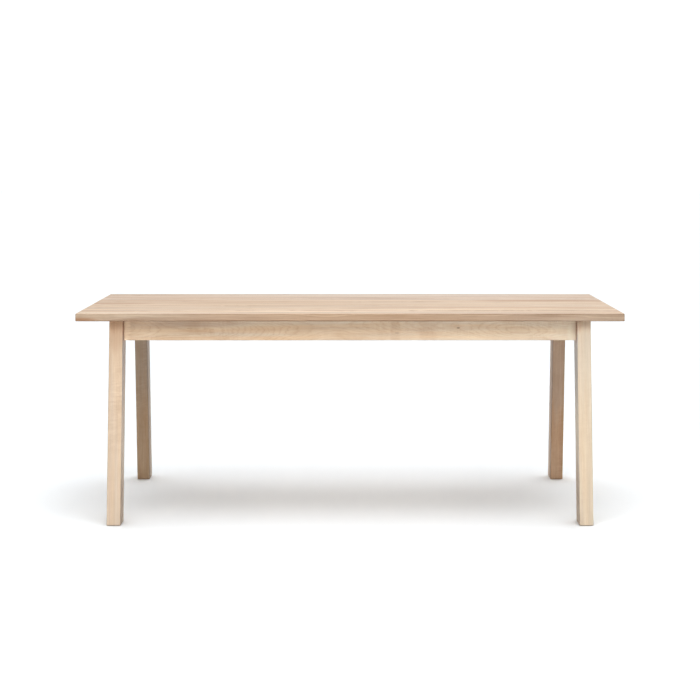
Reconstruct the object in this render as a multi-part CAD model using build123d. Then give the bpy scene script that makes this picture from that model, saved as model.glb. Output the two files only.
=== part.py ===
from build123d import *
import os
from math import cos, hypot, radians, sqrt, tan

# Communion table: an edge-glued solid birch top on four legs that splay to the front and the
# rear. Rails are stub-tenoned into the legs, and each corner is drawn tight by a steel corner
# plate and a hanger bolt. Z-shaped clips hold the top to the rails and let it move.
#
# Frame, in millimetres: X runs along the table, -Y is the front, +Z is up. The origin lies on
# the floor under the middle of the table. Corner pieces are drawn once, at the right rear
# corner (+X, +Y), and mirrored to the other three.

# ---- Overall size ----
TABLE_LENGTH = 1900.0
TABLE_DEPTH = 800.0
TABLE_HEIGHT = 730.0

# ---- Top ----
TOP_THICKNESS = 26.0
BOARD_COUNT = 6
TOP_CORNER_ROUND = 2.5
TOP_EDGE_ROUND = 1.5

# ---- Legs ----
LEG_WIDTH = 48.0  # along X
LEG_SECTION = 75.0  # square across the leg, in the plane of its splay
LEG_SPLAY = 6.7  # degrees from upright
LEG_END_INSET = 110.0  # end of the top to the leg's outer face
FOOT_OVERREACH = 33.0  # how far a foot stands out beyond the top's long edge
LEG_EDGE_ROUND = 2.5
FOOT_CHAMFER = 1.0

# ---- Rails ----
RAIL_HEIGHT = 75.0
RAIL_THICKNESS = 24.0
RAIL_EDGE_ROUND = 2.0
APRON_SETBACK = 28.0  # from the leg's outer face, measured at the leg's top
MIDDLE_RAIL_HEIGHT = 60.0
TENON_LENGTH = 16.0
TENON_THICKNESS = 10.0
TENON_SHOULDER = 12.0  # above and below the tenon
TENON_ROOT = 1.0  # how far a tenon is drawn back into its own rail
MIDDLE_TENON_LENGTH = 12.0
GLUE_GAP = 0.1
MORTISE_END_GAP = 0.5

# ---- Corner plates and hanger bolts ----
PLATE_THICKNESS = 2.5
PLATE_HEIGHT = 50.0
PLATE_REACH = 66.0  # from the rails' inner corner to the plate's bend, along each rail
PLATE_FLANGE = 30.0
PLATE_BEND = 45.0  # degrees, from a flange to the web
PLATE_BEND_INSIDE = 2.0
PLATE_BOLT_HOLE_RADIUS = 4.6
CORNER_FLAT_DEPTH = 8.0  # of the flat cut on the leg's inner corner, at the bolt's height
BOLT_RADIUS = 4.0
BOLT_LENGTH = 80.0
BOLT_IN_LEG = 38.0
BOLT_TIP_CHAMFER = 1.0
WASHER_RADIUS = 9.0
WASHER_HOLE_RADIUS = 4.3
WASHER_THICKNESS = 1.6
NUT_SIDES = 6
NUT_ACROSS_FLATS = 13.0
NUT_HEIGHT = 6.5
NUT_CORNER_CHAMFER = 0.9

# ---- Screws ----
SCREW_RADIUS = 2.0
SCREW_HEAD_RADIUS = 4.0
SCREW_HEAD_HEIGHT = 2.4
SCREW_HEAD_ROUND = 1.44
SCREW_POINT = 3.5
SCREW_TIP_RADIUS = 0.2
PLATE_SCREW_LENGTH = 18.0
PLATE_SCREW_SPACING = 28.0
CLIP_SCREW_LENGTH = 16.0
SCREW_HOLE_RADIUS = 2.4  # in steel
RECESS_LENGTH = 4.4
RECESS_WIDTH = 0.9
RECESS_DEPTH = 1.5

# ---- Clips that hold the top ----
CLIP_THICKNESS = 2.0
CLIP_BEND_ROUND = 0.9
CLIP_WIDTH = 18.0
CLIP_TONGUE = 8.0  # how far the tongue reaches into its slot
CLIP_STANDOFF = 2.0  # between the rail's face and the riser
CLIP_FOOT_END = 26.0  # from the rail's face
CLIP_SCREW_OFFSET = 15.0  # from the rail's face
CLIP_DROP = 12.0  # from the underside of the top to the upper side of the slot
SLOT_DEPTH = 10.0
SLOT_HEIGHT = 3.0
SLOT_WIDTH = 44.0
APRON_CLIP_X = (-620.0, -230.0, 230.0, 620.0)
END_CLIP_Y = (-170.0, -60.0, 60.0, 170.0)
MIDDLE_CLIP_Y = (-200.0, -65.0, 65.0, 200.0)

# ---- Glides under the feet ----
GLIDE_THICKNESS = 1.2
GLIDE_INSET = 2.5
GLIDE_CORNER_ROUND = 5.0
GLIDE_EDGE_CHAMFER = 0.4
SPIGOT_RADIUS = 4.0
SPIGOT_LENGTH = 12.0

CLEARANCE = 0.05  # around a bolt, screw or spigot in its hole
END_ROOM = 0.6  # beyond its tip
PICK_WITHIN = 0.1  # when edges are picked by their place

# ---- Worked out from the sizes above ----
SLOPE = tan(radians(LEG_SPLAY))
LEG_DEPTH = LEG_SECTION / cos(radians(LEG_SPLAY))  # level, through the slanted leg
UNDER_TOP = TABLE_HEIGHT - TOP_THICKNESS
RAIL_BOTTOM = UNDER_TOP - RAIL_HEIGHT
BOLT_Z = UNDER_TOP - RAIL_HEIGHT / 2
LEG_OUTER_X = TABLE_LENGTH / 2 - LEG_END_INSET
LEG_INNER_X = LEG_OUTER_X - LEG_WIDTH


def leg_outer_y(z):
    """Distance of a leg's outer slanted face from the middle plane, at height z."""
    return TABLE_DEPTH / 2 + FOOT_OVERREACH - SLOPE * z


def leg_inner_y(z):
    """Distance of a leg's inner slanted face from the middle plane, at height z."""
    return leg_outer_y(z) - LEG_DEPTH


APRON_OUTER_Y = leg_outer_y(UNDER_TOP) - APRON_SETBACK
APRON_INNER_Y = APRON_OUTER_Y - RAIL_THICKNESS
# The end rail stands as far outside the leg's inner corner as the apron does, at the bolt's
# height, so that the plate and its bolt lie at 45 degrees to both.
CORNER_OFFSET = APRON_INNER_Y - leg_inner_y(BOLT_Z)
END_RAIL_INNER_X = LEG_INNER_X + CORNER_OFFSET
END_RAIL_OUTER_X = END_RAIL_INNER_X + RAIL_THICKNESS

# Points on the bolt's axis, from the leg's inner corner: positive into the leg.
RAIL_CORNER_ON_AXIS = CORNER_OFFSET * sqrt(2)
PLATE_ON_AXIS = RAIL_CORNER_ON_AXIS - PLATE_REACH / sqrt(2)
BOLT_INNER_TIP = CORNER_FLAT_DEPTH + BOLT_IN_LEG
WASHER_ON_AXIS = PLATE_ON_AXIS - PLATE_THICKNESS
NUT_ON_AXIS = WASHER_ON_AXIS - WASHER_THICKNESS

# At the right rear corner the bolt points out of the leg towards the table's middle.
BOLT_AXIS = Plane(
    origin=(LEG_INNER_X, leg_inner_y(BOLT_Z), BOLT_Z),
    x_dir=(0, 0, 1),
    z_dir=(1, 1, 0),
)


def span_box(low, high):
    """A box from its lowest to its highest corner."""
    size = [b - a for a, b in zip(low, high)]
    middle = [(a + b) / 2 for a, b in zip(low, high)]
    return Pos(*middle) * Box(*size)


def on_bolt_axis(shape, distance):
    """Put a shape drawn along +Z from its origin on the bolt's axis."""
    return BOLT_AXIS * Pos(0, 0, distance) * shape


def rod(radius, length):
    """A cylinder that stands on the origin."""
    return Cylinder(radius, length, align=(Align.CENTER, Align.CENTER, Align.MIN))


def to_corner(shape, side, end):
    """Mirror a right rear shape to another corner."""
    if side == "left":
        shape = mirror(shape, about=Plane.YZ)
    if end == "front":
        shape = mirror(shape, about=Plane.XZ)
    return shape


# ---- Screws ----
def screw(length):
    """Pan-head wood screw: shank down to -length, head above the origin."""
    shank = Pos(0, 0, -length + SCREW_POINT) * rod(SCREW_RADIUS, length - SCREW_POINT)
    point = Pos(0, 0, -length) * Cone(
        SCREW_TIP_RADIUS, SCREW_RADIUS, SCREW_POINT, align=(Align.CENTER, Align.CENTER, Align.MIN)
    )
    head = rod(SCREW_HEAD_RADIUS, SCREW_HEAD_HEIGHT)
    head = fillet(head.edges().sort_by(Axis.Z)[-1], SCREW_HEAD_ROUND)
    body = shank + point + head
    for angle in (0, 90):
        slot = Box(RECESS_LENGTH, RECESS_WIDTH, RECESS_DEPTH * 2)
        body -= Pos(0, 0, SCREW_HEAD_HEIGHT) * Rot(0, 0, angle) * slot
    return body


def screw_hole(length):
    """The hole that a screw's shank takes up in wood, below the origin."""
    depth = length + END_ROOM
    return Pos(0, 0, -depth) * rod(SCREW_RADIUS + CLEARANCE, depth)


# ---- Clips ----
# A clip is drawn with the rail's face on y = 0, the table's middle towards +Y, and the
# underside of the top on z = 0.
def clip():
    slot_top = -CLIP_DROP
    riser = CLIP_STANDOFF
    outline = [
        (-CLIP_TONGUE, slot_top - CLIP_THICKNESS),
        (riser + CLIP_THICKNESS, slot_top - CLIP_THICKNESS),
        (riser + CLIP_THICKNESS, -CLIP_THICKNESS),
        (CLIP_FOOT_END, -CLIP_THICKNESS),
        (CLIP_FOOT_END, 0),
        (riser, 0),
        (riser, slot_top),
        (-CLIP_TONGUE, slot_top),
    ]
    profile = make_face(Plane.YZ * Polyline(*outline, close=True))
    strip = extrude(profile, CLIP_WIDTH / 2, both=True)
    bends = [e for e in strip.edges().filter_by(Axis.X) if is_clip_bend(e)]
    strip = fillet(bends, CLIP_BEND_ROUND)
    hole = Pos(0, CLIP_SCREW_OFFSET, -CLIP_THICKNESS * 2) * rod(SCREW_HOLE_RADIUS, CLIP_THICKNESS * 3)
    return strip - hole


def is_clip_bend(edge):
    """True for the four edges at the clip's two bends."""
    y, z = edge.center().Y, edge.center().Z
    at_riser = CLIP_STANDOFF - PICK_WITHIN < y < CLIP_STANDOFF + CLIP_THICKNESS + PICK_WITHIN
    return at_riser and z < PICK_WITHIN


def clip_screw():
    """The clip's screw, driven up into the top."""
    return Pos(0, CLIP_SCREW_OFFSET, -CLIP_THICKNESS) * Rot(180, 0, 0) * screw(CLIP_SCREW_LENGTH)


def clip_screw_hole():
    return Pos(0, CLIP_SCREW_OFFSET, -CLIP_THICKNESS) * Rot(180, 0, 0) * screw_hole(CLIP_SCREW_LENGTH)


def clip_slot():
    low = (-SLOT_WIDTH / 2, -SLOT_DEPTH, -CLIP_DROP - SLOT_HEIGHT)
    high = (SLOT_WIDTH / 2, SLOT_DEPTH, -CLIP_DROP)
    return span_box(low, high)


def clip_places():
    """Rail name to the places of its clips."""
    half_middle = RAIL_THICKNESS / 2
    middle_turn = [-90 if i % 2 else 90 for i in range(len(MIDDLE_CLIP_Y))]
    places = {
        "front": [(x, -APRON_INNER_Y, 0) for x in APRON_CLIP_X],
        "rear": [(x, APRON_INNER_Y, 180) for x in APRON_CLIP_X],
        "left": [(-END_RAIL_INNER_X, y, -90) for y in END_CLIP_Y],
        "right": [(END_RAIL_INNER_X, y, 90) for y in END_CLIP_Y],
        "middle": [
            (-half_middle if turn > 0 else half_middle, y, turn)
            for y, turn in zip(MIDDLE_CLIP_Y, middle_turn)
        ],
    }
    return {
        rail: [Pos(x, y, UNDER_TOP) * Rot(0, 0, turn) for x, y, turn in spots]
        for rail, spots in places.items()
    }


# ---- Top ----
def top_boards(screw_holes):
    """The top's boards, from front to rear, with the holes for the clips' screws."""
    slab = Pos(0, 0, UNDER_TOP + TOP_THICKNESS / 2) * Box(TABLE_LENGTH, TABLE_DEPTH, TOP_THICKNESS)
    slab = fillet(slab.edges().filter_by(Axis.Z), TOP_CORNER_ROUND)
    outline = slab.faces().sort_by(Axis.Z)[-1].edges() + slab.faces().sort_by(Axis.Z)[0].edges()
    slab = fillet(outline, TOP_EDGE_ROUND)
    width = TABLE_DEPTH / BOARD_COUNT
    boards = []
    for i in range(BOARD_COUNT):
        front = -TABLE_DEPTH / 2 + i * width
        cell = span_box((-TABLE_LENGTH, front, 0), (TABLE_LENGTH, front + width, TABLE_HEIGHT * 2))
        board = slab & cell
        for hole in screw_holes:
            if front < hole.center().Y < front + width:
                board -= hole
        boards.append(board)
    return boards


# ---- Rails ----
def tenon_box(low, high, gap=0.0):
    """A tenon, or the mortise for it when a gap is given on its cheeks and edges."""
    return span_box([v - gap for v in low], [v + gap for v in high])


def round_lower_edges(rail, axis, bottom):
    edges = [e for e in rail.edges().filter_by(axis) if e.center().Z < bottom + PICK_WITHIN]
    return fillet(edges, RAIL_EDGE_ROUND)


def tenon_levels(bottom):
    return bottom + TENON_SHOULDER, UNDER_TOP - TENON_SHOULDER


def apron_tenon(gap=0.0, end_gap=0.0):
    """The rear apron's right tenon."""
    middle = (APRON_INNER_Y + APRON_OUTER_Y) / 2
    low_z, high_z = tenon_levels(RAIL_BOTTOM)
    low = (LEG_INNER_X - TENON_ROOT, middle - TENON_THICKNESS / 2, low_z)
    high = (LEG_INNER_X + TENON_LENGTH + end_gap, middle + TENON_THICKNESS / 2, high_z)
    return tenon_box(low, high, gap)


def end_rail_tenon(gap=0.0, end_gap=0.0):
    """The right end rail's tenons: one bar through both ends."""
    middle = (END_RAIL_INNER_X + END_RAIL_OUTER_X) / 2
    tip = leg_inner_y(BOLT_Z) + TENON_LENGTH + end_gap
    low_z, high_z = tenon_levels(RAIL_BOTTOM)
    low = (middle - TENON_THICKNESS / 2, -tip, low_z)
    high = (middle + TENON_THICKNESS / 2, tip, high_z)
    return tenon_box(low, high, gap)


def middle_rail_tenon(gap=0.0, end_gap=0.0):
    """The middle rail's tenons: one bar through both ends."""
    tip = APRON_INNER_Y + MIDDLE_TENON_LENGTH + end_gap
    low_z, high_z = tenon_levels(UNDER_TOP - MIDDLE_RAIL_HEIGHT)
    half = TENON_THICKNESS / 2
    return tenon_box((-half, -tip, low_z), (half, tip, high_z), gap)


def long_apron(plate_holes, places):
    """The rear apron."""
    apron = span_box(
        (-LEG_INNER_X, APRON_INNER_Y, RAIL_BOTTOM),
        (LEG_INNER_X, APRON_OUTER_Y, UNDER_TOP),
    )
    apron = round_lower_edges(apron, Axis.X, RAIL_BOTTOM)
    tenon = apron_tenon()
    apron += tenon
    apron += mirror(tenon, about=Plane.YZ)
    apron -= middle_rail_tenon(GLUE_GAP, MORTISE_END_GAP)
    for place in places:
        apron -= place * clip_slot()
    for hole in plate_holes:
        apron -= hole
        apron -= mirror(hole, about=Plane.YZ)
    return apron


def end_rail(plate_holes, places):
    """The right end rail, with shoulders cut to the legs' slant."""
    outline = [
        (-leg_inner_y(RAIL_BOTTOM), RAIL_BOTTOM),
        (leg_inner_y(RAIL_BOTTOM), RAIL_BOTTOM),
        (leg_inner_y(UNDER_TOP), UNDER_TOP),
        (-leg_inner_y(UNDER_TOP), UNDER_TOP),
    ]
    profile = make_face(Plane.YZ * Polyline(*outline, close=True))
    rail = Pos(END_RAIL_INNER_X, 0, 0) * extrude(profile, RAIL_THICKNESS, dir=(1, 0, 0))
    rail = round_lower_edges(rail, Axis.Y, RAIL_BOTTOM)
    rail += end_rail_tenon()
    for place in places:
        rail -= place * clip_slot()
    for hole in plate_holes:
        rail -= hole
        rail -= mirror(hole, about=Plane.XZ)
    return rail


def middle_rail(places):
    """The bearer under the middle of the top, between the two aprons."""
    bottom = UNDER_TOP - MIDDLE_RAIL_HEIGHT
    half = RAIL_THICKNESS / 2
    rail = span_box((-half, -APRON_INNER_Y, bottom), (half, APRON_INNER_Y, UNDER_TOP))
    rail = round_lower_edges(rail, Axis.Y, bottom)
    rail += middle_rail_tenon()
    for place in places:
        rail -= place * clip_slot()
    return rail


# ---- Legs and glides ----
def leg():
    """The right rear leg."""
    foot_z = GLIDE_THICKNESS
    outline = [
        (leg_inner_y(foot_z), foot_z),
        (leg_outer_y(foot_z), foot_z),
        (leg_outer_y(UNDER_TOP), UNDER_TOP),
        (leg_inner_y(UNDER_TOP), UNDER_TOP),
    ]
    profile = make_face(Plane.YZ * Polyline(*outline, close=True))
    blank = Pos(LEG_INNER_X, 0, 0) * extrude(profile, LEG_WIDTH, dir=(1, 0, 0))
    slanted = [e for e in blank.edges() if e.length > UNDER_TOP / 2]
    blank = fillet(slanted, LEG_EDGE_ROUND)
    blank = chamfer(blank.faces().sort_by(Axis.Z)[0].edges(), FOOT_CHAMFER)
    blank -= apron_tenon(GLUE_GAP, MORTISE_END_GAP)
    blank -= end_rail_tenon(GLUE_GAP, MORTISE_END_GAP)
    blank -= corner_flat()
    hole_depth = BOLT_INNER_TIP + END_ROOM
    blank -= on_bolt_axis(rod(BOLT_RADIUS + CLEARANCE, hole_depth), 0)
    blank -= glide_place() * rod(SPIGOT_RADIUS + CLEARANCE, SPIGOT_LENGTH + END_ROOM)
    return blank


def corner_flat():
    """What is cut from the leg's inner corner to give the bolt a square flat."""
    reach = LEG_WIDTH
    cutter = Box(RAIL_HEIGHT * 2, reach, reach, align=(Align.CENTER, Align.CENTER, Align.MAX))
    block = on_bolt_axis(cutter, CORNER_FLAT_DEPTH)
    above_rail_bottom = span_box((0, 0, RAIL_BOTTOM), (TABLE_LENGTH, TABLE_DEPTH, TABLE_HEIGHT))
    return block & above_rail_bottom


def foot_middle_y(z):
    return (leg_outer_y(z) + leg_inner_y(z)) / 2


def glide_place():
    """The middle of the right rear foot's underside."""
    return Pos((LEG_OUTER_X + LEG_INNER_X) / 2, foot_middle_y(GLIDE_THICKNESS), GLIDE_THICKNESS)


def glide():
    """The right rear glide: a flat pad with a spigot up into the foot."""
    inset = FOOT_CHAMFER + GLIDE_INSET
    pad = Box(
        LEG_WIDTH - inset * 2,
        LEG_DEPTH - inset * 2,
        GLIDE_THICKNESS,
        align=(Align.CENTER, Align.CENTER, Align.MAX),
    )
    pad = fillet(pad.edges().filter_by(Axis.Z), GLIDE_CORNER_ROUND)
    pad = chamfer(pad.faces().sort_by(Axis.Z)[0].edges(), GLIDE_EDGE_CHAMFER)
    return glide_place() * (pad + rod(SPIGOT_RADIUS, SPIGOT_LENGTH))


# ---- Corner hardware ----
def rail_corner_point(along_apron, along_end_rail):
    """A point in plan, from the right rear corner between the rails' inner faces."""
    return END_RAIL_INNER_X - along_apron, APRON_INNER_Y - along_end_rail


def corner_plate():
    """A bent strip across the corner: two flanges on the rails and a web at 45 degrees."""
    t = PLATE_THICKNESS
    bend = PLATE_REACH
    bend_inside = bend + t * tan(radians(PLATE_BEND / 2))
    end = PLATE_REACH + PLATE_FLANGE
    outline = [
        (end, 0),
        (bend, 0),
        (0, bend),
        (0, end),
        (t, end),
        (t, bend_inside),
        (bend_inside, t),
        (end, t),
    ]
    points = [rail_corner_point(*p) for p in outline]
    profile = make_face(Polyline(*points, close=True))
    plate = Pos(0, 0, BOLT_Z) * extrude(profile, PLATE_HEIGHT / 2, both=True)
    upright = plate.edges().filter_by(Axis.Z)
    outer_bends = [e for e in upright if is_near(e, (bend, 0)) or is_near(e, (0, bend))]
    plate = fillet(outer_bends, PLATE_BEND_INSIDE + t)
    inner = [(bend_inside, t), (t, bend_inside)]
    inner_bends = [e for e in plate.edges().filter_by(Axis.Z) if any(is_near(e, p) for p in inner)]
    plate = fillet(inner_bends, PLATE_BEND_INSIDE)
    hole = rod(PLATE_BOLT_HOLE_RADIUS, PLATE_THICKNESS * 3)
    plate -= on_bolt_axis(hole, PLATE_ON_AXIS - PLATE_THICKNESS * 2)
    for place in plate_screw_places():
        plate -= place * Pos(0, 0, -t * 2) * rod(SCREW_HOLE_RADIUS, t * 4)
    return plate


def is_near(edge, point):
    """True if an upright edge stands at a point given from the rails' inner corner."""
    x, y = rail_corner_point(*point)
    return hypot(edge.center().X - x, edge.center().Y - y) < PICK_WITHIN


def plate_screw_places():
    """Places of the right rear plate's screws: +Z out of the rail, from the flange's face."""
    along = PLATE_REACH + PLATE_FLANGE / 2 + PLATE_BEND_INSIDE
    places = []
    for z in (BOLT_Z - PLATE_SCREW_SPACING / 2, BOLT_Z + PLATE_SCREW_SPACING / 2):
        x, y = rail_corner_point(along, PLATE_THICKNESS)
        places.append(Pos(x, y, z) * Rot(90, 0, 0))
        x, y = rail_corner_point(PLATE_THICKNESS, along)
        places.append(Pos(x, y, z) * Rot(0, -90, 0))
    return places


def plate_screws():
    return Compound([place * screw(PLATE_SCREW_LENGTH) for place in plate_screw_places()])


def hanger_bolt():
    """A headless bolt: its wood thread in the leg, its machine thread through the plate."""
    shaft = rod(BOLT_RADIUS, BOLT_LENGTH)
    shaft = chamfer(shaft.edges().filter_by(GeomType.CIRCLE), BOLT_TIP_CHAMFER)
    return on_bolt_axis(shaft, BOLT_INNER_TIP - BOLT_LENGTH)


def washer():
    ring = rod(WASHER_RADIUS, WASHER_THICKNESS) - rod(WASHER_HOLE_RADIUS, WASHER_THICKNESS)
    return on_bolt_axis(ring, NUT_ON_AXIS)


def nut():
    """A hexagon nut, chamfered on both faces."""
    across_corners = NUT_ACROSS_FLATS / cos(radians(180 / NUT_SIDES))
    blank = extrude(RegularPolygon(across_corners / 2, NUT_SIDES), NUT_HEIGHT)
    turned = rod(across_corners / 2, NUT_HEIGHT)
    turned = chamfer(turned.edges().filter_by(GeomType.CIRCLE), NUT_CORNER_CHAMFER)
    body = (blank & turned) - rod(BOLT_RADIUS + CLEARANCE, NUT_HEIGHT)
    return on_bolt_axis(body, NUT_ON_AXIS - NUT_HEIGHT)


def build_nodes():
    """Every piece of the table, by name."""
    places = clip_places()
    hole = clip_screw_hole()
    top_holes = [place * hole for spots in places.values() for place in spots]
    rail_holes = [place * screw_hole(PLATE_SCREW_LENGTH) for place in plate_screw_places()]
    apron_holes = [h for h in rail_holes if h.center().X < END_RAIL_INNER_X - PLATE_REACH]
    end_rail_holes = [h for h in rail_holes if h.center().X > END_RAIL_INNER_X - PLATE_REACH]

    nodes = {}
    for i, board in enumerate(top_boards(top_holes), start=1):
        nodes[f"top_board_{i}"] = board

    rear_apron = long_apron(apron_holes, places["rear"])
    nodes["long_apron_rear"] = rear_apron
    nodes["long_apron_front"] = mirror(rear_apron, about=Plane.XZ)
    right_rail = end_rail(end_rail_holes, places["right"])
    nodes["end_rail_right"] = right_rail
    nodes["end_rail_left"] = mirror(right_rail, about=Plane.YZ)
    nodes["middle_rail"] = middle_rail(places["middle"])

    corner_pieces = {
        "leg": leg(),
        "glide": glide(),
        "corner_plate": corner_plate(),
        "corner_plate_screws": plate_screws(),
        "hanger_bolt": hanger_bolt(),
        "hanger_bolt_washer": washer(),
        "hanger_bolt_nut": nut(),
    }
    for name, piece in corner_pieces.items():
        for end in ("front", "rear"):
            for side in ("left", "right"):
                nodes[f"{name}_{end}_{side}"] = to_corner(piece, side, end)

    for rail, spots in places.items():
        nodes[f"top_clips_{rail}"] = Compound([place * clip() for place in spots])
        nodes[f"top_clip_screws_{rail}"] = Compound([place * clip_screw() for place in spots])
    return nodes


os.makedirs("parts", exist_ok=True)
for node_name, node_shape in build_nodes().items():
    export_step(node_shape, f"parts/{node_name}.step")
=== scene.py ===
import math

import bpy
from mathutils import Euler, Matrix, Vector


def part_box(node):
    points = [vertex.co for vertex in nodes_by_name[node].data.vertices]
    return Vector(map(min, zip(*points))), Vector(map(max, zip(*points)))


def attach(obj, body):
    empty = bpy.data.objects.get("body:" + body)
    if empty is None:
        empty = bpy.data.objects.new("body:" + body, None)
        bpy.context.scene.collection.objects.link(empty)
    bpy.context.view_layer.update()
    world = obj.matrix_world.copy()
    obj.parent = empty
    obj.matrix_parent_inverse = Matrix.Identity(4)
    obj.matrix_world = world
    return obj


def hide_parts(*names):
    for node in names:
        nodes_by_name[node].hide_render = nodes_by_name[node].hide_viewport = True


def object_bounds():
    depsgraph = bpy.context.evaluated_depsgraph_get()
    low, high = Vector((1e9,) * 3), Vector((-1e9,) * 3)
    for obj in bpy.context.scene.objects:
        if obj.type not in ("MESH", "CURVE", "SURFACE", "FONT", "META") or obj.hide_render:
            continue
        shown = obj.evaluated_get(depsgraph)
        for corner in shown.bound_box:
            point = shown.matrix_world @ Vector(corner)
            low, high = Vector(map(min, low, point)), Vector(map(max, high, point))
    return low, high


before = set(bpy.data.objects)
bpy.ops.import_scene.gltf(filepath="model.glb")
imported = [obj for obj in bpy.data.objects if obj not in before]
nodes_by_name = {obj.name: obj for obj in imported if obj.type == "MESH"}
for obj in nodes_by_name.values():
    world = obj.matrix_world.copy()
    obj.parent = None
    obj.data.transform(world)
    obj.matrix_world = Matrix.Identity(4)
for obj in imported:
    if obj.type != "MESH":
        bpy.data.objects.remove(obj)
cad_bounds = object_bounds()

# Looks for the communion table: solid birch under a matt, slightly whitened oil, with
# zinc-plated hardware out of sight below the top. Everything is in metres, in the CAD frame.

low_corner, high_corner = cad_bounds
top_low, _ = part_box("top_board_1")
leg_low, leg_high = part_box("leg_front_right")
apron_low, apron_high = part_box("long_apron_front")
leg_inner_x = leg_low.x
leg_middle_x = (leg_low.x + leg_high.x) / 2
leg_middle_y = (leg_low.y + leg_high.y) / 2
leg_height = leg_high.z - leg_low.z
apron_middle_z = (apron_low.z + apron_high.z) / 2

# The legs lean by this angle, and the grain in them follows it.
LEG_SPLAY = math.radians(6.7)


class Graph:
    """Adds nodes to one material, or to the world, and links them up."""

    def __init__(self, name, tree=None):
        self.material = None
        if tree is None:
            self.material = bpy.data.materials.new(name)
            self.material.use_nodes = True
            tree = self.material.node_tree
        self.tree = tree
        self.tree.nodes.clear()

    def add(self, kind, inputs=None, **settings):
        """A node of a kind, its settings, and values or sockets for its inputs."""
        node = self.tree.nodes.new("ShaderNode" + kind)
        for key, value in settings.items():
            setattr(node, key, value)
        for key, value in (inputs or {}).items():
            self.feed(node.inputs[key], value)
        return node

    def feed(self, socket, value):
        """Links a socket to an input, or sets the input to a value."""
        if isinstance(value, bpy.types.NodeSocket):
            self.tree.links.new(value, socket)
        else:
            socket.default_value = value

    def math(self, operation, a, b=0.0):
        return self.add("Math", {0: a, 1: b}, operation=operation).outputs[0]

    def add_up(self, first, *others):
        for other in others:
            first = self.math("ADD", first, other)
        return first

    def times(self, a, b):
        return self.math("MULTIPLY", a, b)

    def centred(self, value):
        """Takes 0..1 to -0.5..0.5."""
        return self.math("SUBTRACT", value, 0.5)

    def remap(self, value, low, high, to_low=0.0, to_high=1.0, smooth=True):
        """Takes low..high to to_low..to_high, clamped."""
        node = self.add(
            "MapRange",
            {"Value": value, "From Min": low, "From Max": high, "To Min": to_low, "To Max": to_high},
            interpolation_type="SMOOTHSTEP" if smooth else "LINEAR",
        )
        return node.outputs["Result"]

    def mix(self, share, a, b, blend="MIX"):
        """Mixes two colours."""
        node = self.add("Mix", data_type="RGBA", blend_type=blend)
        self.feed(node.inputs[0], share)
        self.feed(node.inputs[6], a)
        self.feed(node.inputs[7], b)
        return node.outputs[2]

    def mapping(self, vector, location=(0, 0, 0), rotation=(0, 0, 0), scale=(1, 1, 1)):
        node = self.add(
            "Mapping",
            {"Vector": vector, "Location": location, "Rotation": rotation, "Scale": scale},
        )
        return node.outputs["Vector"]

    def noise(self, vector, stretch, detail=2.0, roughness=0.5, distortion=0.0):
        """Noise of 0..1, with its cycles per metre along each axis given by stretch."""
        node = self.add(
            "TexNoise",
            {
                "Vector": self.mapping(vector, scale=stretch),
                "Scale": 1.0,
                "Detail": detail,
                "Roughness": roughness,
                "Distortion": distortion,
            },
        )
        return node.outputs["Fac"]

    def split(self, vector):
        return self.add("SeparateXYZ", {"Vector": vector}).outputs

    def join(self, x, y, z):
        return self.add("CombineXYZ", {"X": x, "Y": y, "Z": z}).outputs["Vector"]

    def bump(self, height, distance, strength):
        """The surface's normal, with this height on it: 1 stands out by the distance."""
        node = self.add("Bump", {"Height": height, "Distance": distance, "Strength": strength})
        return node.outputs["Normal"]

    def finish(self, **inputs):
        """The surface shader, fed with named inputs."""
        shader = self.add("BsdfPrincipled", {k.replace("_", " "): v for k, v in inputs.items()})
        self.add("OutputMaterial", {"Surface": shader.outputs["BSDF"]})
        return self.material


# ---- Birch ----
# Wood space: X runs along the grain, Y and Z across it. Each piece has its own turn into that
# space, and its own shift, so that no two pieces show the same grain.
ALONG_X = (0.0, 0.0, 0.0)
ALONG_Y = (0.0, 0.0, -math.pi / 2)
FRONT_LEG = (LEG_SPLAY, math.pi / 2, 0.0)
REAR_LEG = (-LEG_SPLAY, math.pi / 2, 0.0)

HEARTWOOD = (0.44, 0.235, 0.125, 1.0)
# Painted shade lines: under the top's front edge, and just under the top on the apron and front
# legs.
PAINTED_SHADE_LINE = (0.27, 0.175, 0.115, 1.0)
KNOT = (0.20, 0.10, 0.05, 1.0)
SAPWOOD = (0.90, 0.83, 0.71, 1.0)
GREYED = (0.50, 0.52, 0.54, 1.0)
# Painted shade on the legs' inner faces, and, browner, near the floor.
PAINTED_INNER_SHADE = (0.34, 0.345, 0.395, 1.0)
PAINTED_FLOOR_SHADE = (0.36, 0.26, 0.19, 1.0)
# Painted light at the apron's ends.
PAINTED_RAIL_END_LIGHT = (0.97, 0.84, 0.685, 1.0)

PITH_WANDER = 0.10
PITH_LIFT = 0.07
RING_RIPPLE = 0.0040
YEAR_GROUPS_PER_METRE = 70.0
ARRIS_WIDTH = 0.004

# How far each thing takes a piece from its pale colour, at 0, to its dark one, at 1.
PLAIN_SHADE = 0.30
LINE_SHADE = 0.45
FIBRE_SHADE = 0.30
PORE_SHADE = 0.20
END_GRAIN_SHADE = 0.40
ARRIS_SHADE = 0.35


def wood_space(g, node_name, place, grain, shift):
    """Two vectors in wood space: to a point, and to it from the middle of its piece."""
    low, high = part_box(node_name)
    middle = Euler(grain).to_matrix() @ ((low + high) / 2)
    middle.x += shift
    wood = g.mapping(place, location=(shift, 0.0, 0.0), rotation=grain)
    from_middle = g.add("VectorMath", {0: wood, 1: middle}, operation="SUBTRACT").outputs[0]
    return wood, from_middle


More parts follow.
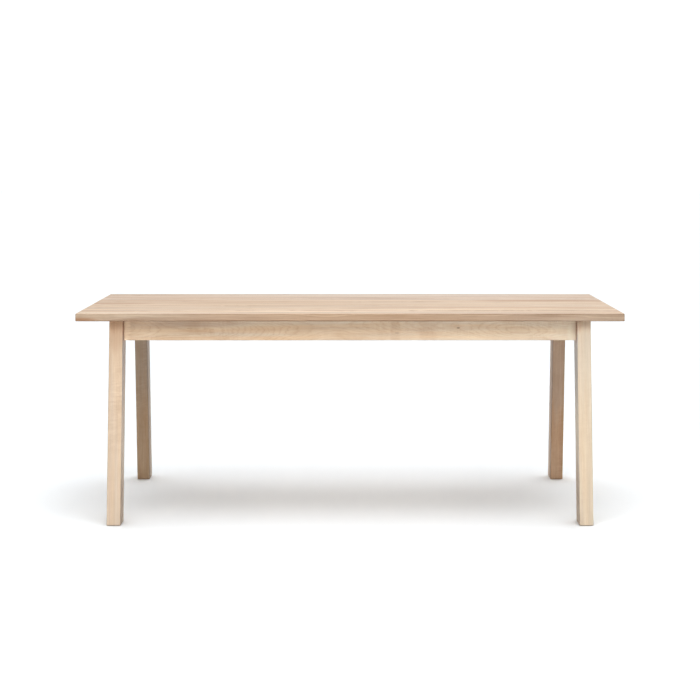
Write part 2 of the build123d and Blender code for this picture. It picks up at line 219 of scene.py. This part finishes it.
def year_lines(g, wood, from_middle, pith, ring):
    """The thin darker line that ends each year, and the groups that good and bad years make."""
    _, across, deep = g.split(from_middle)
    wander = g.noise(wood, (1.1, 2.0, 2.0))
    lift = g.noise(g.mapping(wood, location=(5.3, 1.7, 9.1)), (1.7, 3.0, 3.0))
    ripple = g.noise(wood, (11.0, 60.0, 60.0), detail=4.0, roughness=0.65)
    from_pith_y = g.add_up(across, g.times(g.centred(wander), PITH_WANDER), -pith[0])
    from_pith_z = g.add_up(deep, g.times(g.centred(lift), PITH_LIFT), -pith[1])
    radius = g.add("VectorMath", {0: g.join(0.0, from_pith_y, from_pith_z)}, operation="LENGTH")
    radius = g.math("ADD", radius.outputs["Value"], g.times(ripple, RING_RIPPLE))
    year = g.math("FRACT", g.times(radius, 1.0 / ring))
    late_wood = g.times(g.remap(year, 0.55, 0.95), g.remap(year, 0.95, 1.0, 1.0, 0.0))
    group = g.add(
        "TexNoise",
        {"W": g.times(radius, YEAR_GROUPS_PER_METRE), "Detail": 3.0, "Roughness": 0.6},
        noise_dimensions="1D",
    )
    return late_wood, group.outputs["Fac"]


def fibres(g, wood):
    """Long streaks, finer lines, clouding, fine fibre, and pores that show as short flecks."""
    streaks = g.noise(wood, (1.3, 20.0, 20.0), detail=5.0, roughness=0.62)
    lines = g.noise(
        g.mapping(wood, location=(4.1, 6.3, 2.9)), (2.6, 120.0, 120.0), detail=3.0, roughness=0.6
    )
    clouds = g.noise(
        g.mapping(wood, location=(7.7, 2.9, 1.3)),
        (9.0, 30.0, 30.0),
        detail=4.0,
        roughness=0.65,
        distortion=0.8,
    )
    fibre = g.noise(wood, (10.0, 620.0, 620.0), detail=4.0, roughness=0.65)
    pores = g.noise(g.mapping(wood, location=(2.2, 3.1, 4.7)), (90.0, 2200.0, 2200.0), detail=1.0)
    return streaks, lines, clouds, fibre, g.remap(pores, 0.64, 0.74)


def cross_figure(g, wood):
    """Soft bands that cross the grain at a slant, and how they show, which is only in patches."""
    leaning = g.mapping(wood, rotation=(0.0, 0.12, 0.15))
    bands = g.noise(leaning, (75.0, 22.0, 22.0), detail=3.0, roughness=0.6, distortion=0.9)
    patches = g.remap(g.noise(wood, (3.2, 11.0, 11.0), detail=1.0), 0.44, 0.62)
    return bands, g.times(g.centred(bands), patches)


def half_across(turned_axis, half_box):
    """Half a piece's width along an axis of wood space, for a piece that may lean in Y."""
    return abs(turned_axis.x) * half_box.x + abs(
        abs(turned_axis.y) * half_box.y - abs(turned_axis.z) * half_box.z
    )


def worn_arrises(g, node_name, grain, from_middle, clouds):
    """The long arrises, which are handled most: 0 away from them, and uneven along them."""
    low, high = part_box(node_name)
    turn = Euler(grain).to_matrix()
    _, across, deep = g.split(from_middle)
    rims = []
    for offset, axis in ((across, turn[1]), (deep, turn[2])):
        half = half_across(axis, (high - low) / 2)
        rims.append(g.remap(g.math("ABSOLUTE", offset), half - ARRIS_WIDTH, half))
    return g.times(g.times(*rims), g.math("ADD", clouds, 0.2))


def end_grain(g, normal, grain):
    """1 on faces cut across the grain, which soak up more oil, and 0 on faces along it."""
    turned = g.add("Mapping", {"Vector": normal, "Rotation": grain}, vector_type="VECTOR").outputs[0]
    return g.math("POWER", g.math("ABSOLUTE", g.split(turned)[0]), 4.0)


def tinted(g, colour, wood, hue):
    """The colour, with some streaks pinker and some greyer."""
    hues = g.noise(g.mapping(wood, location=(1.9, 8.3, 3.7)), (1.0, 24.0, 24.0), detail=3.0)
    grey = (1.0 - 0.015 * hue, 1.0, 1.0 + 0.035 * hue, 1.0)
    pink = (1.0 + 0.015 * hue, 1.0 - 0.015 * hue, 1.0 - 0.045 * hue, 1.0)
    tint = g.mix(g.remap(hues, 0.35, 0.65), grey, pink)
    return g.mix(1.0, colour, tint, blend="MULTIPLY")


def ellipsoid(g, place, centre, size, ragged):
    """0 at a mark's centre and 1 at its rim, in the table's frame, with an uneven rim."""
    parts = []
    for here, there, width in zip(g.split(place), centre, size):
        away = g.times(g.math("SUBTRACT", here, there), 2.0 / width)
        parts.append(g.times(away, away))
    return g.add_up(*parts, ragged)


def marked(g, colour, place, marks, fibre, streaks):
    """The colour, with the piece's own streaks and knots on it, and the painted shade and light."""
    ragged = g.times(g.math("SUBTRACT", g.math("ADD", fibre, streaks), 1.0), 2.4)
    for mark_colour, centre, size, strength in marks:
        inside = g.remap(ellipsoid(g, place, centre, size, ragged), 0.05, 1.1, strength, 0.0)
        colour = g.mix(inside, colour, mark_colour)
    return colour


def birch(node_name, grain, shift, tone, pith, ring=0.0030, years=0.10, zones=0.5, streak=0.5,
          curl=0.3, mottle=0.2, hue=1.0, edge_tone=0.0, drift=(0.0, 0.0, 0.0), marks=()):
    """Solid birch for one piece.

    grain: the turn into wood space; shift: the piece's own place along the grain; tone: its
    pale and its dark colour; pith: how far the tree's centre lies from the piece's middle, both
    ways across the grain; ring: the width of a year's growth; years, zones, streak, curl,
    mottle, hue: how strongly the lines of the years, groups of years, long streaks, cross
    figure, clouding and changes from pink to grey show; edge_tone: how much darker the upright
    faces are; drift: how much darker the piece gets in a metre along the grain and both ways
    across it; marks: (colour, centre, size, strength) of streaks and knots, and of painted shade
    and painted light, in the table's frame.
    """
    g = Graph(f"birch_{node_name}")
    coordinates = g.add("TexCoord")
    place = coordinates.outputs["Object"]
    normal = coordinates.outputs["Normal"]
    wood, from_middle = wood_space(g, node_name, place, grain, shift)
    late_wood, group = year_lines(g, wood, from_middle, pith, ring)
    streaks, lines, clouds, fibre, pore = fibres(g, wood)
    curl_bands, curls = cross_figure(g, wood)
    arris = worn_arrises(g, node_name, grain, from_middle, clouds)

    shade = g.add_up(
        g.times(g.centred(streaks), streak * 1.6),
        g.times(g.centred(lines), LINE_SHADE),
        g.times(g.centred(group), zones * 0.8),
        g.times(g.centred(clouds), mottle),
        g.times(late_wood, years),
        g.times(g.centred(fibre), FIBRE_SHADE),
        g.times(pore, PORE_SHADE),
        g.times(curls, curl),
        g.times(end_grain(g, normal, grain), END_GRAIN_SHADE),
        g.times(arris, ARRIS_SHADE),
        PLAIN_SHADE,
    )
    if edge_tone:
        upright = g.math("SUBTRACT", 1.0, g.math("ABSOLUTE", g.split(normal)[2]))
        shade = g.math("ADD", shade, g.times(upright, edge_tone))
    if any(drift):
        fade = g.add("VectorMath", {0: from_middle, 1: drift}, operation="DOT_PRODUCT")
        shade = g.math("ADD", shade, fade.outputs["Value"])
    shade = g.math("MAXIMUM", g.math("MINIMUM", shade, 1.0), 0.0)
    pale, dark = tone
    colour = g.mix(shade, (*pale, 1.0), (*dark, 1.0))
    colour = tinted(g, colour, wood, hue)
    colour = marked(g, colour, place, marks, fibre, streaks)

    roughness = g.add_up(g.times(fibre, 0.16), g.times(late_wood, 0.05), g.times(arris, -0.10), 0.42)
    height = g.add_up(
        g.times(fibre, 0.5),
        g.times(pore, -0.8),
        g.times(late_wood, 0.25),
        g.times(curl_bands, 0.5),
    )
    return g.finish(
        Base_Color=colour,
        Roughness=roughness,
        Normal=g.bump(height, distance=0.00012, strength=0.6),
        Specular_IOR_Level=0.42,
    )


# A piece's pale colour and its dark one.
TOP_TONE = ((0.705, 0.605, 0.50), (0.42, 0.305, 0.22))
LEG_TONE = ((0.84, 0.735, 0.63), (0.58, 0.455, 0.35))
# The rear legs' tone is darker and browner: partly the wood, partly painted shade from the top
# above.
REAR_LEG_TONE_AND_SHADE = ((0.80, 0.69, 0.575), (0.522, 0.371, 0.247))
RAIL_TONE = ((0.835, 0.755, 0.635), (0.585, 0.435, 0.30))


def paint(node_name, material):
    """Gives a CAD node its material."""
    for slot in nodes_by_name[node_name].material_slots:
        slot.material = material


def toned(tone, gain):
    """A tone with its colours multiplied."""
    return tuple(tuple(min(1.0, c * k) for c, k in zip(colour, gain)) for colour in tone)


# ---- Top ----
def on_top(x, y):
    return (x, y, high_corner.z)


def on_front_edge(x, height):
    """A place on the top's front edge, at a height above its underside."""
    return (x, top_low.y, top_low.z + height)


# Streaks that stand out in the top, and a painted shade line along the underside of its front
# edge: colour, centre, size, and strength.
TOP_MARKS = (
    (SAPWOOD, on_top(-0.52, -0.325), (1.30, 0.090, 0.05), 0.13),
    (SAPWOOD, on_top(0.62, -0.228), (1.10, 0.070, 0.05), 0.14),
    (HEARTWOOD, on_top(0.45, -0.155), (1.00, 0.060, 0.05), 0.22),
    (HEARTWOOD, on_top(0.75, 0.118), (0.60, 0.030, 0.03), 0.75),
    (HEARTWOOD, on_top(-0.88, -0.008), (0.44, 0.036, 0.03), 0.75),
    (HEARTWOOD, on_top(-0.70, 0.128), (0.60, 0.050, 0.04), 0.25),
    (HEARTWOOD, on_top(-0.05, -0.275), (0.45, 0.070, 0.05), 0.15),
    (HEARTWOOD, on_front_edge(-0.93, 0.004), (0.13, 0.05, 0.022), 0.60),
    # Painted shade along the underside of the front edge.
    (PAINTED_SHADE_LINE, on_front_edge(0.0, -0.0005), (5.0, 0.02, 0.009), 0.60),
    (SAPWOOD, on_top(-0.85, -0.375), (0.45, 0.14, 0.05), 0.16),
    (SAPWOOD, on_front_edge(-0.78, 0.014), (0.60, 0.02, 0.04), 0.14),
    (SAPWOOD, on_front_edge(0.86, 0.012), (0.35, 0.02, 0.04), 0.14),
)

# Each board's pith, growth and slight colour cast, from front to rear. The front board also has
# a darker edge, and pales to the right.
BOARD_LOOKS = (
    {"pith": (0.030, -0.09), "ring": 0.0028, "gain": (1.01, 1.00, 0.99), "zones": 1.0,
     "edge_tone": 0.30, "drift": (-0.03, 0.0, 0.0)},
    {"pith": (-0.005, -0.06), "ring": 0.0036, "gain": (1.00, 0.99, 0.97)},
    {"pith": (-0.025, -0.11), "ring": 0.0030, "gain": (1.00, 0.995, 0.98)},
    {"pith": (-0.006, -0.07), "ring": 0.0034, "gain": (0.995, 0.98, 0.96)},
    {"pith": (-0.020, -0.12), "ring": 0.0029, "gain": (1.00, 1.00, 1.02)},
    {"pith": (0.012, -0.08), "ring": 0.0038, "gain": (0.985, 1.0, 1.035)},
)
BOARD_SHIFT = 3.1


def board_birch(index, look):
    """Birch for one board of the top, with the marks that lie on it."""
    node_name = f"top_board_{index + 1}"
    low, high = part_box(node_name)
    return birch(
        node_name,
        ALONG_X,
        BOARD_SHIFT * index,
        toned(TOP_TONE, look["gain"]),
        look["pith"],
        ring=look["ring"],
        zones=look.get("zones", 0.75),
        streak=0.85,
        mottle=0.15,
        curl=0.12,
        edge_tone=look.get("edge_tone", 0.0),
        drift=look.get("drift", (0.0, 0.0, 0.0)),
        marks=[mark for mark in TOP_MARKS if low.y <= mark[1][1] <= high.y],
    )


for index, look in enumerate(BOARD_LOOKS):
    paint(f"top_board_{index + 1}", board_birch(index, look))

# ---- Legs ----
# The front legs have painted shade on their outer faces just under the top, a painted shadow in
# the joint beside the apron, and painted shade on their inner faces: greyer all the way up, darker
# near the top and browner near the floor. The rear legs are darker and browner on their front
# faces and pale towards the rear: partly the heart of the tree towards the front, partly painted
# shade from the top above them.
INNER_FACE_DEPTH = 0.004
ALL_HEIGHTS = 2.0
LEG_PITH = (0.05, 0.11)
LEG_SHIFT = 2.7
FIRST_LEG_SHIFT = 11.0
REAR_PATCH_Y = 0.33


def front_leg_marks(side):
    """Marks of a front leg: side is -1 on the left and 1 on the right."""
    inner = side * leg_inner_x
    outer_top = (side * leg_middle_x, leg_low.y, leg_high.z)
    beside_apron = (inner, apron_low.y - 0.016, apron_middle_z)
    return [
        # Painted shade on the inner face: greyer all the way up, darker near the top, browner near
        # the floor.
        (GREYED, (inner, leg_middle_y, leg_height / 2), (INNER_FACE_DEPTH, 0.4, ALL_HEIGHTS), 0.28),
        (PAINTED_INNER_SHADE, (inner, leg_middle_y, leg_high.z), (INNER_FACE_DEPTH, 0.6, 0.64), 0.36),
        (PAINTED_FLOOR_SHADE, (inner, leg_low.y, leg_low.z), (INNER_FACE_DEPTH, 0.6, 0.48), 0.42),
        # A painted shadow in the joint beside the apron, and painted shade on the outer face under
        # the top.
        (HEARTWOOD, beside_apron, (0.006, 0.050, 0.100), 0.48),
        (HEARTWOOD, outer_top, (0.20, 0.5, 0.110), 0.30),
        (PAINTED_SHADE_LINE, outer_top, (0.20, 0.5, 0.016), 0.45),
    ]


def rear_leg_marks(side, patch_z, patch_height, patch_strength):
    """Marks of a rear leg: a greyer patch part way up, and painted shade on its inner face."""
    patch = (side * leg_middle_x, REAR_PATCH_Y, patch_z)
    inner = (side * leg_inner_x, -leg_middle_y, leg_height / 2)
    return [
        (GREYED, patch, (0.2, 0.3, patch_height), patch_strength),
        # Painted shade on the inner face.
        (PAINTED_INNER_SHADE, inner, (INNER_FACE_DEPTH, 0.4, ALL_HEIGHTS), 0.28),
    ]


KNEE_STREAK = (HEARTWOOD, (-leg_middle_x, -0.36, 0.66), (0.07, 0.06, 0.16), 0.20)
LEG_LOOKS = {
    "leg_front_left": {
        "grain": FRONT_LEG,
        "gain": (0.985, 0.985, 0.965),
        "curl": 0.9,
        "drift": (0.25, 0.0, 0.0),
        "marks": front_leg_marks(-1) + [KNEE_STREAK],
    },
    "leg_front_right": {
        "grain": FRONT_LEG,
        "gain": (1.02, 1.055, 1.04),
        "curl": 0.2,
        "marks": front_leg_marks(1),
    },
    # Front faces darker, rest paler: partly the heart of the tree, partly painted shade from the
    # top.
    "leg_rear_left": {
        "grain": REAR_LEG,
        "tone": REAR_LEG_TONE_AND_SHADE,
        "gain": (0.945, 0.975, 0.99),
        "curl": 0.5,
        "mottle": 0.45,
        "drift": (0.0, -12.0, 0.0),
        "marks": rear_leg_marks(-1, 0.55, 0.55, 0.22),
    },
    "leg_rear_right": {
        "grain": REAR_LEG,
        "tone": REAR_LEG_TONE_AND_SHADE,
        "gain": (1.06, 1.03, 1.01),
        "curl": 0.5,
        "mottle": 0.45,
        "drift": (0.0, -12.0, 0.0),
        "marks": rear_leg_marks(1, 0.54, 0.60, 0.25),
    },
}


def leg_birch(index, node_name, look):
    """Birch for one leg."""
    return birch(
        node_name,
        look["grain"],
        LEG_SHIFT * index + FIRST_LEG_SHIFT,
        toned(look.get("tone", LEG_TONE), look["gain"]),
        LEG_PITH,
        zones=0.35,
        streak=0.45,
        mottle=look.get("mottle", 0.2),
        curl=look["curl"],
        drift=look.get("drift", (0.0, 0.0, 0.0)),
        marks=look["marks"],
    )


for index, (node_name, look) in enumerate(LEG_LOOKS.items()):
    paint(node_name, leg_birch(index, node_name, look))

# ---- Rails ----
RAIL_SHIFT = 2.3
FIRST_RAIL_SHIFT = 30.15


def on_apron(x, above_middle=0.0):
    """A place on the front apron's face, at a height above its middle line."""
    return (x, apron_low.y, apron_middle_z + above_middle)


# The front apron has two small knots with curly grain round them, a painted shade line just under
# the top, a streak of heartwood high on the left, and painted light at its ends, against the
# shade beside the legs.
APRON_MARKS = (
    (KNOT, on_apron(0.380, 0.0065), (0.013, 0.02, 0.008), 0.42),
    (KNOT, on_apron(0.165, -0.0115), (0.016, 0.02, 0.006), 0.20),
    (HEARTWOOD, on_apron(0.158, 0.0015), (0.040, 0.03, 0.14), 0.12),
    (HEARTWOOD, on_apron(0.272, 0.0055), (0.070, 0.03, 0.14), 0.12),
    (HEARTWOOD, on_apron(-0.62, 0.0285), (0.60, 0.03, 0.06), 0.25),
    # A painted shade line just under the top.
    (PAINTED_SHADE_LINE, (0.0, apron_low.y, apron_high.z), (5.0, 0.03, 0.018), 0.25),
    # Painted light at both ends, against the shade beside the legs.
    (PAINTED_RAIL_END_LIGHT, on_apron(-leg_inner_x), (0.20, 0.05, 0.30), 0.25),
    (SAPWOOD, on_apron(leg_inner_x), (0.20, 0.05, 0.30), 0.35),
    (PAINTED_RAIL_END_LIGHT, on_apron(-leg_inner_x), (0.045, 0.05, 0.30), 0.9),
    (SAPWOOD, on_apron(leg_inner_x), (0.060, 0.05, 0.30), 0.9),
)
RAIL_LOOKS = {
    "long_apron_front": {
        "grain": ALONG_X,
        "pith": (0.10, 0.006),
        # Painted light: paler towards the top, against the shade under the top; a little browner to
        # the left.
        "drift": (-0.10, 0.0, -2.6),
        "marks": APRON_MARKS,
    },
    "long_apron_rear": {"grain": ALONG_X, "pith": (-0.11, -0.01)},
    "end_rail_left": {"grain": ALONG_Y, "pith": (0.10, 0.01)},
    "end_rail_right": {"grain": ALONG_Y, "pith": (-0.09, -0.02)},
    "middle_rail": {"grain": ALONG_Y, "pith": (0.12, 0.0)},
}


def rail_birch(index, node_name, look):
    """Birch for one rail: slow-grown, with a lively figure."""
    return birch(
        node_name,
        look["grain"],
        RAIL_SHIFT * index + FIRST_RAIL_SHIFT,
        RAIL_TONE,
        look["pith"],
        ring=0.0018,
        years=0.16,
        zones=0.25,
        streak=0.30,
        curl=0.5,
        mottle=0.6,
        hue=2.0,
        drift=look.get("drift", (0.0, 0.0, 0.0)),
        marks=look.get("marks", ()),
    )


for index, (node_name, look) in enumerate(RAIL_LOOKS.items()):
    paint(node_name, rail_birch(index, node_name, look))


# ---- Zinc plate and nylon ----
def zinc(name, spangle, base_roughness):
    """Bright zinc plate: grey, a little blue, with faint clouds, fine scratches and dull patches."""
    g = Graph(name)
    place = g.add("TexCoord").outputs["Object"]
    clouds = g.noise(place, (spangle, spangle, spangle), detail=4.0, roughness=0.6)
    scratches = g.noise(place, (900.0, 60.0, 900.0), detail=3.0, roughness=0.7)
    dull = g.remap(g.noise(place, (35.0, 35.0, 35.0), detail=3.0), 0.45, 0.7)
    colour = g.mix(clouds, (0.47, 0.49, 0.52, 1.0), (0.66, 0.67, 0.67, 1.0))
    colour = g.mix(g.times(dull, 0.35), colour, (0.50, 0.48, 0.42, 1.0))
    height = g.add_up(g.times(scratches, 0.4), clouds)
    return g.finish(
        Base_Color=colour,
        Metallic=1.0,
        Roughness=g.add_up(g.times(scratches, 0.16), g.times(dull, 0.14), base_roughness),
        Normal=g.bump(height, distance=0.00005, strength=0.5),
    )


def pale_nylon(name):
    """Moulded nylon in a pale wood colour: matt, with a fine grain and scuffs."""
    g = Graph(name)
    place = g.add("TexCoord").outputs["Object"]
    grain = g.noise(place, (1400.0, 1400.0, 1400.0))
    scuffs = g.remap(g.noise(place, (160.0, 160.0, 160.0), detail=4.0), 0.5, 0.75)
    return g.finish(
        Base_Color=g.mix(g.times(scuffs, 0.5), (0.62, 0.54, 0.44, 1.0), (0.52, 0.44, 0.35, 1.0)),
        Roughness=g.add_up(g.times(grain, 0.12), g.times(scuffs, 0.15), 0.46),
        Normal=g.bump(grain, distance=0.00006, strength=0.5),
    )


plate_zinc = zinc("zinc_plate", 220.0, 0.30)
fixing_zinc = zinc("zinc_fixing", 480.0, 0.24)
glide_nylon = pale_nylon("glide_nylon")
for node_name in nodes_by_name:
    if node_name.startswith("glide_"):
        paint(node_name, glide_nylon)
    elif "screw" in node_name or node_name.startswith("hanger_bolt"):
        paint(node_name, fixing_zinc)
    elif node_name.startswith(("corner_plate", "top_clips")):
        paint(node_name, plate_zinc)

# ---- Hanger bolts ----
# The CAD bolts are plain rods. These have a coarse thread that bites in the leg, a fine one for the
# nut, and a plain neck between them. Distances are from the bolt's middle, positive into the leg.
BOLT_RADIUS = 0.004
BOLT_HALF_LENGTH = 0.040
BOLT_SIDES = 24
NECK_RADIUS = 0.0036
NECK_START = -0.004
NECK_END = 0.003
RUN_OUT = 0.0003
FINE_PITCH = 0.00125
FINE_DEPTH = 0.0006
FINE_RINGS_PER_TURN = 6
COARSE_PITCH = 0.003
COARSE_DEPTH = 0.0010
COARSE_RINGS_PER_TURN = 12
END_RADIUS = 0.003
POINT_RADIUS = 0.0012
POINT_SLOPE = 0.5


def spaced(start, end, step):
    """Distances from start to end, evenly spaced and no further apart than a step."""
    count = math.ceil((end - start) / step)
    return [start + (end - start) * index / count for index in range(count + 1)]


def thread_wave(along, turn, pitch):
    """1 on a thread's crest and 0 at its root."""
    return 0.5 + 0.5 * math.cos(2.0 * math.pi * (along / pitch - turn))


def bolt_reach(along, turn):
    """The bolt's radius at a distance from its middle and at a share of a turn round it."""
    if along <= NECK_START:
        thread = BOLT_RADIUS - FINE_DEPTH * (1.0 - thread_wave(along, turn, FINE_PITCH))
        return min(thread, END_RADIUS + along + BOLT_HALF_LENGTH)
    if along >= NECK_END:
        thread = BOLT_RADIUS - COARSE_DEPTH * (1.0 - thread_wave(along, turn, COARSE_PITCH) ** 2)
        to_point = POINT_RADIUS + POINT_SLOPE * (BOLT_HALF_LENGTH - along)
        return thread * min(1.0, to_point / BOLT_RADIUS)
    return NECK_RADIUS


def bolt_rings():
    """Distances of the bolt's rings of points, close enough together for both threads."""
    fine = spaced(-BOLT_HALF_LENGTH, NECK_START, FINE_PITCH / FINE_RINGS_PER_TURN)
    coarse = spaced(NECK_END, BOLT_HALF_LENGTH, COARSE_PITCH / COARSE_RINGS_PER_TURN)
    return fine + [NECK_START + RUN_OUT, NECK_END - RUN_OUT] + coarse


def bolt_points(middle, turn_to_axis):
    """The points of a bolt with this middle, ring by ring."""
    points = []
    for along in bolt_rings():
        for side in range(BOLT_SIDES):
            turn = side / BOLT_SIDES
            angle = 2.0 * math.pi * turn
            reach = bolt_reach(along, turn)
            local = Vector((reach * math.cos(angle), reach * math.sin(angle), along))
            points.append(middle + turn_to_axis @ local)
    return points


def side_faces(point_count):
    """The faces between each ring of points and the next."""
    faces = []
    for start in range(0, point_count - BOLT_SIDES, BOLT_SIDES):
        above = start + BOLT_SIDES
        for side in range(BOLT_SIDES):
            beside = (side + 1) % BOLT_SIDES
            faces.append((start + side, start + beside, above + beside, above + side))
    return faces


def threaded_bolt(corner):
    """A bolt in place of a corner's CAD bolt, as one closed mesh of rings along its axis."""
    node_name = f"hanger_bolt_{corner}"
    low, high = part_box(node_name)
    middle = (low + high) / 2
    into_leg = Vector((math.copysign(1.0, middle.x), math.copysign(1.0, middle.y), 0.0))
    points = bolt_points(middle, into_leg.to_track_quat("Z", "Y").to_matrix())
    sides = side_faces(len(points))
    first_cap = tuple(reversed(range(BOLT_SIDES)))
    last_cap = tuple(range(len(points) - BOLT_SIDES, len(points)))
    mesh = bpy.data.meshes.new(f"threaded_hanger_bolt_{corner}")
    mesh.from_pydata(points, [], sides + [first_cap, last_cap])
    mesh.polygons.foreach_set("use_smooth", [True] * len(sides) + [False, False])
    mesh.materials.append(fixing_zinc)
    bolt = bpy.data.objects.new(mesh.name, mesh)
    bpy.context.scene.collection.objects.link(bolt)
    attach(bolt, "root")
    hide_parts(node_name)


for corner in ("front_left", "front_right", "rear_left", "rear_right"):
    threaded_bolt(corner)

# ---- Floor ----
FLOOR_HALF = 60.0
FLOOR_DROP = 0.0002
FLOOR_CORNERS = ((-1, -1), (1, -1), (1, 1), (-1, 1))
floor_mesh = bpy.data.meshes.new("studio_floor")
floor_mesh.from_pydata(
    [(FLOOR_HALF * x, FLOOR_HALF * y, 0.0) for x, y in FLOOR_CORNERS],
    [],
    [(0, 1, 2, 3)],
)
floor = bpy.data.objects.new("studio_floor", floor_mesh)
floor.location.z = low_corner.z - FLOOR_DROP
bpy.context.scene.collection.objects.link(floor)
floor_look = Graph("studio_floor")
floor_mesh.materials.append(
    floor_look.finish(
        Base_Color=(0.857, 0.88, 0.900, 1.0),
        Roughness=0.9,
        Specular_IOR_Level=0.0,
    )
)

# ---- Light ----
# Soft rings of light round the table, at 15, 30 and 70 degrees above the horizon, stand in for a
# white studio. A softbox ahead of the table lights the floor there. The camera sees plain white.
OVERHEAD_LIGHT = 1.1
SEEN_WHITE = 1.15
SOFTBOX_WIDTH = 2.8
SOFTBOX_DEPTH = 0.9
SOFTBOX_WATTS = 19.2
SOFTBOX_PLACE = (0.0, -1.6, 1.4)
SOFTBOX_TILT = math.radians(-4.0)

scene = bpy.context.scene
world = bpy.data.worlds.new("studio")
scene.world = world
world.use_nodes = True
sky = Graph("studio", world.node_tree)
toward = sky.split(sky.add("TexCoord").outputs["Generated"])
elevation = sky.times(sky.math("ARCSINE", toward[2]), 180.0 / math.pi)
flat = sky.join(toward[0], toward[1], 0.0)
level = sky.add("VectorMath", {0: flat}, operation="NORMALIZE").outputs[0]
right, back, _ = sky.split(level)


def ring(low, peak, high, sides, ahead, behind, bias=0.0):
    """Light between two elevations, brightest at the peak, with its strength by direction."""
    rise = sky.remap(elevation, low, peak, smooth=False)
    fall = sky.remap(elevation, peak, high, 1.0, 0.0, smooth=False)
    slope = (behind - ahead) / 2.0
    bend = (behind + ahead) / 2.0 - sides
    strength = sky.add_up(
        sky.times(back, slope),
        sky.times(sky.times(back, back), bend),
        sky.times(right, bias),
        sides,
    )
    return sky.times(sky.times(rise, fall), strength)


light = sky.add_up(
    ring(0.0, 15.0, 30.0, sides=0.36, ahead=1.25, behind=1.0, bias=0.15),
    ring(15.0, 30.0, 50.0, sides=1.68, ahead=0.75, behind=2.7),
    ring(50.0, 70.0, 90.0, sides=2.5, ahead=2.8, behind=3.25, bias=0.45),
    sky.times(sky.remap(elevation, 70.0, 90.0, smooth=False), OVERHEAD_LIGHT),
)
seen = sky.add("LightPath").outputs["Is Camera Ray"]
unseen = sky.math("SUBTRACT", 1.0, seen)
strength = sky.add_up(sky.times(light, unseen), sky.times(seen, SEEN_WHITE))
background = sky.add("Background", {"Color": (1.0, 1.0, 1.0, 1.0), "Strength": strength})
sky.add("OutputWorld", {"Surface": background.outputs["Background"]})

softbox_data = bpy.data.lights.new("front_softbox", "AREA")
softbox_data.shape = "RECTANGLE"
softbox_data.size = SOFTBOX_WIDTH
softbox_data.size_y = SOFTBOX_DEPTH
softbox_data.energy = SOFTBOX_WATTS
softbox = bpy.data.objects.new("front_softbox", softbox_data)
softbox.location = SOFTBOX_PLACE
softbox.rotation_euler = (SOFTBOX_TILT, 0.0, 0.0)
softbox.visible_camera = False
scene.collection.objects.link(softbox)

# ---- Camera ----
# Lens and sensor are in millimetres. The camera looks slightly down, from in front of the table.
CAMERA_LENS = 80.37
CAMERA_SENSOR = 36.0
CAMERA_SHIFT = -0.215
CAMERA_PLACE = (0.0, -5.793, 1.2584)
CAMERA_PITCH = math.radians(1.414)

camera_data = bpy.data.cameras.new("camera")
camera_data.lens = CAMERA_LENS
camera_data.sensor_width = CAMERA_SENSOR
camera_data.shift_y = CAMERA_SHIFT
camera = bpy.data.objects.new("camera", camera_data)
camera.location = CAMERA_PLACE
camera.rotation_euler = (math.pi / 2 - CAMERA_PITCH, 0.0, 0.0)
scene.collection.objects.link(camera)
scene.camera = camera

# ---- View ----
# A display gamma below 1 deepens the middle tones.
VIEW_GAMMA = 1.0 / 1.6
scene.view_settings.view_transform = "Standard"
scene.view_settings.gamma = VIEW_GAMMA
